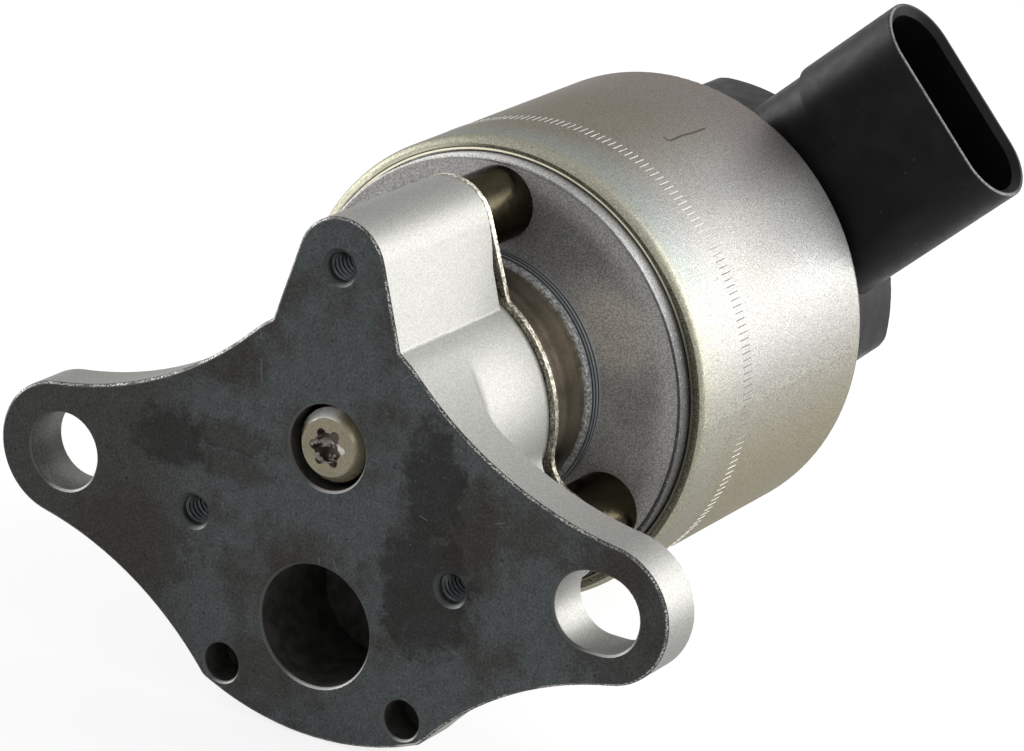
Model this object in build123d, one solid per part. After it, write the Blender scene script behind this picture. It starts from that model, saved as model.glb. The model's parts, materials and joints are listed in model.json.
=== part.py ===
from build123d import *
import os
from math import acos, atan2, cos, hypot, radians, sin, sqrt

# Solenoid exhaust gas recirculation valve, in millimetres.
# The valve axis runs along +Y, away from the mounting face. Every piece is drawn about that axis with
# the mounting face at y = 0, and is lifted by axis_height when it is written, so that the origin lies
# on the mounting face midway between the two mounting holes. +Z is up and +X is towards the slotted ear.

# Mounting plate
hole_spacing = 68.7
hole_diameter = 9.0
slot_width = 8.8
slot_length = 10.4
axis_height = 9.36
plate_thickness = 5.7
ear_wall = 3.3
ear_reach = 0.8
upper_flank_radius = 45.0
lower_flank_radius = 40.0
foot_half_angle = 25.0
foot_corner_radius = 1.5
edge_bevel = 0.35
root_fillet = 4.3

# Gas ports and locating holes in the mounting face
inlet_radius = 4.84
inlet_lip = 2.6
outlet_radius = 7.0
outlet_offset = 20.6
outlet_wall = 4.0
outlet_margin = 6.0
outlet_collar = 7.5
passage_width = 11.0
passage_height = 5.5
locating_radius = 2.25
locating_depth = 4.5
locating_half_spacing = 11.75
locating_drop = 28.24
mouth_break = 0.25

# Valve seat and pintle
seat_height = 4.4
seat_wall = 2.56
seat_chamfer = 0.8
seating_gap = 0.1
lift = 4.5
nose_recess = 0.05
nose_radius = 3.35
nose_edge_break = 0.1
nose_shoulder_length = 1.2
nose_gap = 0.64
head_overhang = 0.56
head_rim = 0.6
head_back_height = 1.5
drive_radius = 1.72
drive_lobe_radius = 0.55
drive_depth = 1.8
drive_lobes = 6
stem_radius = 2.5
stem_step = 0.5
running_clearance = 0.04

# Casting walls, stem bearing and its carrier
chamber_ring = 3.1
carrier_seat = 1.7
boss_wall = 2.8
carrier_thickness = 2.4
hub_length = 3.4
hub_wall = 2.0
bearing_wall = 1.66
bearing_set_back = 0.4
travel_clearance = 0.3
thread_minor_radius = 1.65
thread_chamfer = 0.5

# Gasket, heat shield and spacer posts
gasket_thickness = 0.9
gasket_inset = 0.35
rim_set_back = 0.12
pad_spread = 1.9
shield_thickness = 0.7
shield_overhang = 0.7
shield_tip_overhang = 0.05
shield_root_overhang = 0.5
shield_bore_gap = 3.5
post_length = 10.35
post_radius = 4.25
post_gap = 2.05
post_bore_radius = 2.2
post_angles = (90.0, 215.2, 324.8)
lobe_wall = 1.25
lobe_root_half_width = 8.05
lobe_root_fillet = 0.6
lobe_waist_radius = 4.0
screw_radius = 1.6
screw_head_radius = 3.5
screw_head_height = 2.4
screw_engagement = 12.0
screw_head_clearance = 0.3

# Neck, ring and pole flange
neck_step = 1.0
pole_shoulder = 1.5
pole_wall = 3.2
ring_steps = 3
ring_step_width = 0.32
ring_step_height = 0.4
ring_height = 1.95
flange_thickness = 5.15
flange_lip_proud = 0.35
flange_lip_width = 0.56
flange_lip_gap = 0.15
flange_shoulder_width = 0.64
flange_shoulder_height = 2.55

# Return spring chamber
spring_chamber_wall = 6.0
spring_seat_lift = 2.0
spring_seat_thickness = 1.2
spring_seat_clearance = 0.6
return_spring_length = 9.8
return_spring_wire = 1.0
return_spring_turns = 4.5
spring_end_gap = 0.06
wire_sides = 8
partition_thickness = 2.5
stem_passage_gap = 0.7

# Armature, guide sleeve and solenoid
sleeve_wall = 0.4
armature_clearance = 0.06
armature_rest_gap = 0.7
armature_length = 15.8
nut_height = 2.2
nut_width = 7.2
stem_tip = 0.8
stop_gap = 0.5
sleeve_overlap = 3.0
core_length = 5.8
washer_thickness = 3.0
bobbin_clearance = 0.1
bobbin_wall = 1.4
bobbin_flange_thickness = 1.6
bobbin_end_gap = 0.4
bobbin_edge_gap = 1.5
winding_inset = 0.5

# Can
can_wall = 1.0
can_back = 1.2
can_clearance = 0.1
can_lip_reach = 0.5
can_roll_radius = 1.1
can_back_radius = 0.8

# Position sensor cap and cover
cap_radius = 24.0
cap_half_width = 18.8
cap_corner_radius = 2.5
cap_edge_radius = 0.6
cap_seal_thickness = 0.4
cap_seal_inset = 0.8
cap_floor = 2.5
cap_cavity_radius = 14.5
cover_thickness = 1.2
cover_inset = 0.15
cover_edge_radius = 0.5
spigot_radius = 6.5
spigot_length = 2.5
spigot_clearance = 0.1

# Position sensor plunger, spring and track
plunger_radius = 1.9
plunger_contact_gap = 0.05
collar_radius = 3.6
collar_thickness = 1.2
collar_rest_gap = 0.3
plunger_tail = 2.6
bush_wall = 1.5
sensor_spring_length = 8.4
sensor_spring_wire = 0.5
sensor_spring_turns = 6.0
wiper_width = 4.0
wiper_gap = 0.1
track_distance = 10.0
track_thickness = 1.2
track_half_width = 8.6
track_edge_gap = 0.3

# Connector shroud and terminals
connector_angle = 42.6
connector_width = 25.9
connector_height = 11.6
connector_margin = 0.5
connector_back_margin = 0.3
connector_wall = 1.2
connector_land = 0.25
connector_edge_radius = 0.2
connector_mouth = 44.1
connector_root = 29.6
connector_root_step = 0.5
socket_depth = 16.0
terminal_count = 5
terminal_pitch = 3.9
terminal_width = 1.5
terminal_thickness = 0.8
terminal_reach = 7.5
terminal_clearance = 0.05

# Radii worked outwards from the inlet
seat_radius = inlet_radius + seat_wall
head_radius = inlet_radius + seat_chamfer + head_overhang
chamber_radius = seat_radius + chamber_ring
carrier_radius = chamber_radius + carrier_seat
boss_radius = carrier_radius + boss_wall
neck_radius = boss_radius - neck_step
pole_radius = neck_radius - pole_shoulder
sleeve_radius = pole_radius - pole_wall
armature_radius = sleeve_radius - sleeve_wall - armature_clearance
spring_chamber_radius = neck_radius - spring_chamber_wall
bearing_radius = stem_radius + running_clearance + bearing_wall
hub_radius = bearing_radius + hub_wall
ring_radius = neck_radius + ring_steps * ring_step_width
post_circle = neck_radius + post_gap + post_radius
lobe_radius = post_radius + lobe_wall
lip_inner_radius = post_circle + post_radius + flange_lip_gap
lip_outer_radius = lip_inner_radius + flange_lip_width
shoulder_radius = lip_outer_radius + flange_shoulder_width
can_inner_radius = shoulder_radius + can_clearance
can_radius = can_inner_radius + can_wall
bobbin_bore = pole_radius + bobbin_clearance
bobbin_drum = bobbin_bore + bobbin_wall
bobbin_rim = can_inner_radius - bobbin_edge_gap
foot_radius = outlet_offset + outlet_radius + outlet_margin
hump_radius = outlet_radius + outlet_wall
hole_radius = hole_diameter / 2
ear_radius = hole_radius + ear_wall
upper_stem_radius = stem_radius - stem_step
stem_passage_radius = stem_radius + stem_passage_gap
spigot_hole_radius = spigot_radius + spigot_clearance
nut_recess_radius = nut_width / sqrt(3) + travel_clearance
bush_radius = plunger_radius + running_clearance + bush_wall

# Levels worked along the valve axis from the mounting face
chamber_floor = inlet_lip + seat_height
cone_level = chamber_floor - inlet_radius - seat_chamfer + seating_gap * sqrt(2)
head_rim_bottom = cone_level + head_radius
head_top = head_rim_bottom + head_rim + head_back_height
hub_bottom = head_top + lift + travel_clearance
carrier_bottom = hub_bottom + hub_length
casting_top = carrier_bottom + carrier_thickness
passage_top = outlet_collar + passage_height
hump_top = passage_top + outlet_wall
gasket_top = casting_top + gasket_thickness
rim_top = gasket_top - rim_set_back
shield_top = gasket_top + shield_thickness
flange_face = shield_top + post_length
flange_back = flange_face + flange_thickness
shoulder_level = flange_face + flange_shoulder_height
spring_seat_bottom = shield_top + spring_seat_lift
spring_bottom = spring_seat_bottom + spring_seat_thickness
spring_top = spring_bottom + return_spring_length
partition_top = spring_top + partition_thickness
armature_bottom = partition_top + armature_rest_gap
armature_top = armature_bottom + armature_length
nut_top = armature_top + nut_height
stem_top = nut_top + stem_tip
stop_level = armature_top + lift + stop_gap
sleeve_top = stop_level + sleeve_overlap
washer_bottom = sleeve_top + core_length
washer_top = washer_bottom + washer_thickness
can_end = washer_top + can_back
nut_recess_top = stem_top + lift + stop_gap
bobbin_bottom = max(flange_back, partition_top) + bobbin_end_gap
cap_front = can_end + cap_seal_thickness
floor_top = cap_front + cap_floor
collar_bottom = floor_top + collar_rest_gap
collar_top = collar_bottom + collar_thickness
connector_level = cap_front + connector_margin + connector_height / 2
connector_back = connector_level + connector_height / 2 + connector_back_margin
cover_front = max(collar_top + sensor_spring_length, connector_back)
cover_back = cover_front + cover_thickness
plunger_bottom = stem_top + plunger_contact_gap
plunger_top = collar_top + plunger_tail
spigot_end = can_end - spigot_length
socket_floor = connector_mouth - socket_depth
track_back = track_distance + track_thickness

# Mounting plate places, as (x, z) in the plane of the mounting face
hole_x = hole_spacing / 2
hole_z = -axis_height
ear_x = hole_x + ear_reach
ear_centre = (ear_x, hole_z)
foot_corner = (foot_radius * sin(radians(foot_half_angle)), -foot_radius * cos(radians(foot_half_angle)))
lobe_root = (lobe_root_half_width, sqrt(boss_radius**2 - lobe_root_half_width**2))
overcut = 1.0


def turned(*profile):
    """Solid of revolution about the valve axis from (radius, level) corners."""
    corners = Polyline(*profile, close=True)
    return revolve(make_face(corners), axis=Axis.Y)


def tube(inner, outer, bottom, top):
    """Plain ring or, with no inner radius, a disc about the valve axis."""
    return turned((inner, bottom), (outer, bottom), (outer, top), (inner, top))


def prism(sketch, bottom, top):
    """Extrude a sketch drawn in (x, z) from one level to another along the valve axis."""
    placed = Plane.XZ.offset(-bottom) * sketch
    return extrude(placed, amount=bottom - top)


def cylinder_at(place, radius, bottom, top):
    """Cylinder along the valve axis, centred on an (x, z) place."""
    return prism(Pos(*place) * Circle(radius), bottom, top)


def polar(radius, angle):
    """(x, z) place at a radius and angle about the valve axis."""
    return (radius * cos(radians(angle)), radius * sin(radians(angle)))


def outside_tangent_centre(first, first_radius, second, second_radius, radius, side):
    """Centre of an arc that touches two circles from outside, on one side of the line between them."""
    reach_a = radius + first_radius
    reach_b = radius + second_radius
    dx = second[0] - first[0]
    dz = second[1] - first[1]
    span = hypot(dx, dz)
    along = (reach_a**2 - reach_b**2 + span**2) / (2 * span)
    across = side * sqrt(reach_a**2 - along**2)
    return (first[0] + (along * dx - across * dz) / span, first[1] + (along * dz + across * dx) / span)


def towards(start, end, distance):
    """Point at a distance from start on the line to end."""
    span = hypot(end[0] - start[0], end[1] - start[1])
    share = distance / span
    return (start[0] + (end[0] - start[0]) * share, start[1] + (end[1] - start[1]) * share)


def short_arc(start, end, centre):
    """Shorter arc between two points about a centre."""
    radius = hypot(start[0] - centre[0], start[1] - centre[1])
    middle = ((start[0] + end[0]) / 2, (start[1] + end[1]) / 2)
    return ThreePointArc(start, towards(centre, middle, radius), end)


def mirrored_web(right):
    """Face between a chain of edges from the axis to a lobe's centre and its mirror image."""
    left = [edge.mirror(Plane.YZ) for edge in right]
    return make_face(Wire.combine(right + left)[0].edges())


def tapered_lobe(ring, radius, root_growth):
    """Top lobe: straight tapered flanks with a small fillet where they meet the boss circle."""
    tip = (0.0, post_circle)
    root = (lobe_root[0] + root_growth, lobe_root[1])
    span = hypot(root[0] - tip[0], root[1] - tip[1])
    heading = atan2(root[1] - tip[1], root[0] - tip[0]) + acos(radius / span)
    touch = (tip[0] + radius * cos(heading), tip[1] + radius * sin(heading))
    along = towards((0, 0), (touch[0] - root[0], touch[1] - root[1]), 1)
    aside = (along[1], -along[0])
    shifted = (root[0] + lobe_root_fillet * aside[0], root[1] + lobe_root_fillet * aside[1])
    rise = shifted[0] * along[0] + shifted[1] * along[1]
    reach = sqrt(rise**2 - hypot(*shifted)**2 + (ring + lobe_root_fillet)**2) - rise
    centre = (shifted[0] + reach * along[0], shifted[1] + reach * along[1])
    start = towards((0, 0), centre, ring)
    end = (root[0] + reach * along[0], root[1] + reach * along[1])
    right = [Line((0, 0), start), short_arc(start, end, centre), Line(end, touch), Line(touch, tip)]
    return mirrored_web(right) + Pos(*tip) * Circle(radius)


def waisted_lobe(ring, radius):
    """Lower lobe, drawn at the top: a round end that runs into the boss circle with hollow sides."""
    tip = (0.0, post_circle)
    centre = outside_tangent_centre((0, 0), ring, tip, radius, lobe_waist_radius, -1)
    start = towards((0, 0), centre, ring)
    end = towards(tip, centre, radius)
    right = [Line((0, 0), start), short_arc(start, end, centre), Line(end, tip)]
    return mirrored_web(right) + Pos(*tip) * Circle(radius)


def three_lobes(growth, tip_growth, root_growth):
    """Boss outline: a circle with a tapered lobe at the top post and a waisted one at each lower post."""
    ring = boss_radius + growth
    radius = lobe_radius + tip_growth
    outline = Sketch() + Circle(ring) + tapered_lobe(ring, radius, root_growth)
    for angle in post_angles[1:]:
        outline += Rot(0, 0, angle - post_angles[0]) * waisted_lobe(ring, radius)
    return outline


def plate_outline():
    """Mounting plate: two ears on hollow flanks, a round foot below and the boss with its top lobe."""
    upper = outside_tangent_centre((0, 0), boss_radius, ear_centre, ear_radius, upper_flank_radius, 1)
    lower = outside_tangent_centre(ear_centre, ear_radius, foot_corner, 0.0, lower_flank_radius, 1)
    boss_touch = towards((0, 0), upper, boss_radius)
    ear_top = towards(ear_centre, upper, ear_radius)
    ear_bottom = towards(ear_centre, lower, ear_radius)
    ear_tip = (ear_x + ear_radius, hole_z)
    right = [
        short_arc(boss_touch, ear_top, upper),
        ThreePointArc(ear_top, ear_tip, ear_bottom),
        short_arc(ear_bottom, foot_corner, lower),
    ]
    left = [edge.mirror(Plane.YZ) for edge in right]
    foot = ThreePointArc(foot_corner, (0, -foot_radius), (-foot_corner[0], foot_corner[1]))
    bridge = Line(boss_touch, (-boss_touch[0], boss_touch[1]))
    blade = make_face(Wire.combine(right + left + [foot, bridge])[0].edges())
    corners = blade.vertices().group_by(Axis.Y)[0]
    blade = fillet(corners, radius=foot_corner_radius)
    return Sketch() + blade + Circle(boss_radius) + tapered_lobe(boss_radius, lobe_radius, 0.0)


def root_collar(outline):
    """Hollow cast fillet between the back of the plate and the boss, as far as the plate reaches."""
    reach = boss_radius + root_fillet
    crest = plate_thickness + root_fillet
    profile = [
        Polyline((boss_radius, crest), (0, crest), (0, edge_bevel), (reach, edge_bevel),
                 (reach, plate_thickness)),
        short_arc((reach, plate_thickness), (boss_radius, crest), (reach, crest)),
    ]
    return revolve(make_face(Curve() + profile), axis=Axis.Y) & prism(outline, edge_bevel, crest)


def post_pads(outline):
    """Pads under the posts that carry the shield, with a cast slope down to the rest of each lobe."""
    pad = turned((0, casting_top), (lobe_radius + pad_spread, casting_top), (lobe_radius, gasket_top),
                 (0, gasket_top))
    pads = Part()
    for angle in post_angles:
        place = polar(post_circle, angle)
        pads += Pos(place[0], 0, place[1]) * pad
    return pads & prism(outline, casting_top, gasket_top)


def base_casting():
    """Ported casting: mounting plate, boss with rim and three lobes, and a hump over the outlet passage."""
    plate_face = plate_outline()
    boss_face = three_lobes(0.0, 0.0, 0.0)
    plate = prism(plate_face, 0, plate_thickness)
    plate = chamfer(plate.faces().sort_by(Axis.Y)[0].edges(), length=edge_bevel)
    boss = prism(boss_face, edge_bevel, casting_top) + tube(0, boss_radius, edge_bevel, rim_top)
    outlet = (0.0, -outlet_offset)
    hump = prism(Sketch() + Pos(*outlet) * Circle(hump_radius), edge_bevel, hump_top)
    saddle = Pos(0, -outlet_offset / 2) * Rectangle(2 * hump_radius, outlet_offset)
    bridge = prism(saddle, edge_bevel, hump_top)
    body = plate + root_collar(plate_face) + boss + post_pads(boss_face) + hump + bridge
    body -= tube(0, inlet_radius, -overcut, inlet_lip + overcut)
    body -= tube(0, seat_radius, inlet_lip, chamber_floor + overcut)
    body -= tube(0, chamber_radius, chamber_floor, carrier_bottom + overcut)
    body -= tube(0, carrier_radius, carrier_bottom, gasket_top + overcut)
    body -= cylinder_at(outlet, outlet_radius, -overcut, passage_top)
    tunnel = Pos(0, -outlet_offset / 2) * Rectangle(passage_width, outlet_offset)
    body -= prism(tunnel, outlet_collar, passage_top) - tube(0, seat_radius, 0, passage_top)
    body -= cylinder_at((-hole_x, hole_z), hole_radius, -overcut, plate_thickness + overcut)
    slot = Pos(hole_x, hole_z) * SlotOverall(slot_length, slot_width)
    body -= prism(slot, -overcut, plate_thickness + overcut)
    for side in (-1, 1):
        place = (side * locating_half_spacing, -locating_drop)
        body -= cylinder_at(place, locating_radius, -overcut, locating_depth)
    mouths = [wire.edges() for wire in body.faces().sort_by(Axis.Y)[0].inner_wires()]
    body = body.solid().chamfer(mouth_break, None, [edge for mouth in mouths for edge in mouth])
    for angle in post_angles:
        place = polar(post_circle, angle)
        body -= cylinder_at(place, thread_minor_radius, -overcut, gasket_top + overcut)
        mouth = Pos(place[0], 0, place[1]) * thread_mouth()
        body -= mouth
    return body


def thread_mouth():
    """Chamfer at the mouth of a tapped hole."""
    wide = thread_minor_radius + thread_chamfer
    return turned((0, -overcut), (wide, -overcut), (wide, 0), (thread_minor_radius, thread_chamfer),
                  (0, thread_chamfer))


def valve_seat():
    """Hard seat ring pressed into the casting, with a conical upper edge."""
    return turned((inlet_radius, inlet_lip), (seat_radius, inlet_lip), (seat_radius, chamber_floor),
                  (inlet_radius + seat_chamfer, chamber_floor), (inlet_radius, chamber_floor - seat_chamfer))


def pintle():
    """Nose with a conical shoulder, conical sealing head and long stepped stem in one piece."""
    nose_root = inlet_radius - nose_gap
    shoulder_start = nose_recess + nose_edge_break
    shaft = turned(
        (0, nose_recess),
        (nose_radius - nose_edge_break, nose_recess),
        (nose_radius, shoulder_start),
        (nose_root, shoulder_start + nose_shoulder_length),
        (nose_root, cone_level + nose_root),
        (head_radius, head_rim_bottom),
        (head_radius, head_rim_bottom + head_rim),
        (stem_radius, head_top),
        (stem_radius, armature_bottom),
        (upper_stem_radius, armature_bottom),
        (upper_stem_radius, stem_top),
        (0, stem_top),
    )
    drive = Sketch() + Circle(drive_radius)
    for lobe in PolarLocations(drive_radius, drive_lobes):
        drive += lobe * Circle(drive_lobe_radius)
    return shaft - prism(drive, 0, nose_recess + drive_depth)


def bearing_carrier():
    """Disc that closes the gas chamber and holds the stem bearing in a hub."""
    return turned(
        (bearing_radius, hub_bottom),
        (hub_radius, hub_bottom),
        (hub_radius, carrier_bottom),
        (carrier_radius, carrier_bottom),
        (carrier_radius, casting_top),
        (bearing_radius, casting_top),
    )


def stem_bearing():
    """Sintered bush that guides the stem."""
    return tube(stem_radius + running_clearance, bearing_radius, hub_bottom, casting_top - bearing_set_back)


def shield_gasket():
    """Flat gasket on the bearing carrier, inside the boss rim."""
    return tube(hub_radius, carrier_radius - gasket_inset, casting_top, gasket_top)


def heat_shield():
    """Sheet of about the boss outline with a bore for the stem and holes for the post screws."""
    outline = three_lobes(shield_overhang, shield_tip_overhang, shield_root_overhang)
    sheet = prism(outline, gasket_top, shield_top)
    sheet -= tube(0, stem_radius + shield_bore_gap, gasket_top - overcut, shield_top + overcut)
    for angle in post_angles:
        place = polar(post_circle, angle)
        sheet -= cylinder_at(place, post_bore_radius, gasket_top - overcut, shield_top + overcut)
    return sheet


def spacer_post(angle):
    """Hollow post that holds the solenoid clear of the hot casting."""
    place = polar(post_circle, angle)
    post = cylinder_at(place, post_radius, shield_top, flange_face)
    return post - cylinder_at(place, post_bore_radius, shield_top - overcut, flange_face + overcut)


def post_screw(angle):
    """Screw through the flange and a post into the casting's tapped hole."""
    place = polar(post_circle, angle)
    head_seat = flange_back - screw_head_height - screw_head_clearance
    head = cylinder_at(place, screw_head_radius, head_seat, head_seat + screw_head_height)
    return head + cylinder_at(place, screw_radius, casting_top - screw_engagement, head_seat)


def lower_pole():
    """Neck with the return spring chamber below and the pole tube round the armature above."""
    return turned(
        (spring_chamber_radius, shield_top),
        (neck_radius, shield_top),
        (neck_radius, flange_face),
        (pole_radius, flange_face),
        (pole_radius, armature_top),
        (sleeve_radius, armature_top),
        (sleeve_radius, partition_top),
        (stem_passage_radius, partition_top),
        (stem_passage_radius, spring_top),
        (spring_chamber_radius, spring_top),
    )


def neck_ring():
    """Stepped ring that locks the neck to the flange."""
    level = flange_face - ring_height
    corners = [(neck_radius, level)]
    for step in range(1, ring_steps + 1):
        radius = neck_radius + step * ring_step_width
        corners += [(radius, level), (radius, level + ring_step_height)]
        level += ring_step_height
    return turned(*corners, (ring_radius, flange_face), (neck_radius, flange_face))


def pole_flange():
    """Dished flange that carries the posts, with a raised lip and a shoulder for the can's roll."""
    lip_level = flange_face - flange_lip_proud
    flange = turned(
        (pole_radius, flange_face),
        (lip_inner_radius, flange_face),
        (lip_inner_radius + flange_lip_proud, lip_level),
        (lip_outer_radius, lip_level),
        (lip_outer_radius, shoulder_level),
        (shoulder_radius, shoulder_level),
        (shoulder_radius, flange_back),
        (pole_radius, flange_back),
    )
    head_seat = flange_back - screw_head_height - screw_head_clearance
    head_room = screw_head_radius + screw_head_clearance
    for angle in post_angles:
        place = polar(post_circle, angle)
        flange -= cylinder_at(place, post_bore_radius, flange_face - overcut, flange_back)
        flange -= cylinder_at(place, head_room, head_seat, flange_back + overcut)
    return flange


def solenoid_can():
    """Drawn can: rolled over the flange's shoulder in front, closed behind round the cap's spigot."""
    lip_level = shoulder_level - can_wall
    roll_end = lip_level + can_roll_radius
    lip_radius = can_inner_radius - can_lip_reach
    roll_centre = can_radius - can_roll_radius
    back_centre = (can_radius - can_back_radius, can_end - can_back_radius)
    diagonal = sqrt(0.5)
    roll_middle = (roll_centre + can_roll_radius * diagonal, roll_end - can_roll_radius * diagonal)
    back_middle = (back_centre[0] + can_back_radius * diagonal, back_centre[1] + can_back_radius * diagonal)
    outline = [
        Line((lip_radius, lip_level), (roll_centre, lip_level)),
        ThreePointArc((roll_centre, lip_level), roll_middle, (can_radius, roll_end)),
        Line((can_radius, roll_end), (can_radius, back_centre[1])),
        ThreePointArc((can_radius, back_centre[1]), back_middle, (back_centre[0], can_end)),
        Polyline((back_centre[0], can_end), (spigot_hole_radius, can_end), (spigot_hole_radius, washer_top),
                 (can_inner_radius, washer_top), (can_inner_radius, shoulder_level),
                 (lip_radius, shoulder_level), (lip_radius, lip_level)),
    ]
    return revolve(make_face(Curve() + outline), axis=Axis.Y)


def bobbin():
    """Moulded coil former with two rims."""
    lower = bobbin_bottom + bobbin_flange_thickness
    upper = washer_bottom - bobbin_flange_thickness
    return turned((bobbin_bore, bobbin_bottom), (bobbin_rim, bobbin_bottom), (bobbin_rim, lower),
                  (bobbin_drum, lower), (bobbin_drum, upper), (bobbin_rim, upper),
                  (bobbin_rim, washer_bottom), (bobbin_bore, washer_bottom))


def coil_winding():
    """Wound copper between the bobbin's rims."""
    lower = bobbin_bottom + bobbin_flange_thickness
    upper = washer_bottom - bobbin_flange_thickness
    return tube(bobbin_drum, bobbin_rim - winding_inset, lower, upper)


def guide_sleeve():
    """Thin non-magnetic tube in which the armature slides."""
    return tube(sleeve_radius - sleeve_wall, sleeve_radius, partition_top, sleeve_top)


def upper_pole():
    """Fixed pole that pulls the armature up, with a recess for the nut and a back washer."""
    inner = sleeve_radius - sleeve_wall
    plunger_bore = plunger_radius + travel_clearance
    return turned(
        (nut_recess_radius, stop_level),
        (inner, stop_level),
        (inner, sleeve_top),
        (pole_radius, sleeve_top),
        (pole_radius, washer_bottom),
        (shoulder_radius, washer_bottom),
        (shoulder_radius, washer_top),
        (spigot_hole_radius, washer_top),
        (spigot_hole_radius, spigot_end - spigot_clearance),
        (plunger_bore, spigot_end - spigot_clearance),
        (plunger_bore, nut_recess_top),
        (nut_recess_radius, nut_recess_top),
    )


def armature():
    """Sliding iron core clamped on the stem."""
    return tube(upper_stem_radius, armature_radius, armature_bottom, armature_top)


def armature_nut():
    """Hexagon nut that clamps the armature on the stem."""
    blank = RegularPolygon(nut_width / 2, 6, major_radius=False) - Circle(upper_stem_radius)
    return prism(blank, armature_top, nut_top)


def spring_seat():
    """Washer on the stem that the return spring pushes down."""
    return tube(stem_radius, spring_chamber_radius - spring_seat_clearance, spring_seat_bottom, spring_bottom)


def coil_spring(mean_radius, wire, turns, bottom, top):
    """Compression spring about the valve axis, between two seats, its round wire drawn with flats."""
    margin = wire / 2 + spring_end_gap
    height = top - bottom - 2 * margin
    path = Helix(pitch=height / turns, height=height, radius=mean_radius)
    section = Plane(path @ 0, z_dir=path % 0) * RegularPolygon(wire / 2, wire_sides)
    coil = sweep(section, path=path, is_frenet=True)
    return Pos(0, bottom + margin, 0) * Rot(-90, 0, 0) * coil


def return_spring():
    """Spring that closes the valve."""
    room = spring_chamber_radius - spring_seat_clearance - return_spring_wire
    return coil_spring(room, return_spring_wire, return_spring_turns, spring_bottom, spring_top)


def double_d(growth):
    """Cap outline: a circle with two flats along the connector's direction and rounded corners."""
    disc = Circle(cap_radius + growth)
    band = Rectangle(3 * cap_radius, 2 * (cap_half_width + growth))
    face = disc & band
    face = fillet(face.vertices(), radius=cap_corner_radius)
    return Rot(0, 0, connector_angle) * face


def connector_direction():
    """Unit vector from the valve axis out along the connector."""
    return Vector(cos(radians(connector_angle)), 0, sin(radians(connector_angle)))


def along_connector(sketch, start, end):
    """Extrude a sketch outwards along the connector: its x is across the shroud, its y is along -Y."""
    outward = connector_direction()
    across = Vector(-outward.Z, 0, outward.X)
    base = Plane(Vector(0, connector_level, 0) + outward * start, x_dir=across, z_dir=outward)
    return extrude(base * sketch, amount=end - start)


def terminal_places():
    """Positions of the terminals across the connector."""
    first = -(terminal_count - 1) / 2 * terminal_pitch
    return [first + index * terminal_pitch for index in range(terminal_count)]


def terminal(place, growth=0.0):
    """Flat blade from the sensor track into the connector socket."""
    blade = Pos(place, 0) * Rectangle(terminal_width + 2 * growth, terminal_thickness + 2 * growth)
    return along_connector(blade, track_back, socket_floor + terminal_reach)


def sensor_cap():
    """Moulded sensor housing with a radial connector shroud."""
    cap = prism(double_d(0.0), cap_front, cover_front)
    cap = fillet(cap.faces().sort_by(Axis.Y)[0].edges(), radius=cap_edge_radius)
    shroud = SlotOverall(connector_width, connector_height)
    root_width = connector_width - connector_root_step
    root = Pos(-connector_root_step / 2, 0) * SlotOverall(root_width, connector_height)
    cap += along_connector(root, cap_cavity_radius, connector_root)
    cap += along_connector(shroud, connector_root, connector_mouth)
    cap += tube(0, spigot_radius, spigot_end, cap_front)
    cap -= tube(0, cap_cavity_radius, floor_top, cover_front + overcut)
    cap -= tube(0, bush_radius, spigot_end - overcut, floor_top + overcut)
    socket = SlotOverall(connector_width - 2 * connector_wall, connector_height - 2 * connector_wall)
    cap -= along_connector(socket, socket_floor, connector_mouth + overcut)
    outwards = Axis((0, connector_level, 0), connector_direction())
    inner_edges = cap.faces().sort_by(outwards)[-1].inner_wires()[0].edges()
    cap = cap.solid().chamfer(connector_wall - connector_land - connector_edge_radius, None, inner_edges)
    outer_edges = cap.faces().sort_by(outwards)[-1].outer_wire().edges()
    cap = cap.fillet(connector_edge_radius, outer_edges)
    for place in terminal_places():
        cap -= terminal(place, terminal_clearance)
    return cap


def cap_seal():
    """Flat seal between the can and the cap."""
    return prism(double_d(-cap_seal_inset) - Circle(spigot_hole_radius), can_end, cap_front)


def sensor_cover():
    """Lid welded on the back of the cap."""
    lid = prism(double_d(-cover_inset), cover_front, cover_back)
    return fillet(lid.faces().sort_by(Axis.Y)[-1].edges(), radius=cover_edge_radius)


def sensor_bush():
    """Bush in the cap's floor that guides the plunger."""
    return tube(plunger_radius + running_clearance, bush_radius, spigot_end, floor_top)


def sensor_plunger():
    """Rod that follows the stem, with a collar for its spring."""
    return turned((0, plunger_bottom), (plunger_radius, plunger_bottom), (plunger_radius, collar_bottom),
                  (collar_radius, collar_bottom), (collar_radius, collar_top), (plunger_radius, collar_top),
                  (plunger_radius, plunger_top), (0, plunger_top))


def sensor_spring():
    """Light spring that keeps the plunger on the stem."""
    room = (plunger_radius + collar_radius) / 2
    return coil_spring(room, sensor_spring_wire, sensor_spring_turns, collar_top, cover_front)


def toward_track(width, start, end, bottom, top):
    """Block on the connector's side of the axis, between two distances and two levels."""
    sketch = Pos((start + end) / 2, 0) * Rectangle(end - start, width)
    return prism(Rot(0, 0, connector_angle) * sketch, bottom, top)


def wiper():
    """Contact arm on the plunger's collar that runs along the track."""
    return toward_track(wiper_width, collar_radius + wiper_gap, track_distance - wiper_gap,
                        collar_bottom, collar_top)


def track_board():
    """Board with the resistance track."""
    top = cover_front - track_edge_gap
    return toward_track(2 * track_half_width, track_distance, track_back, floor_top, top)


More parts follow.
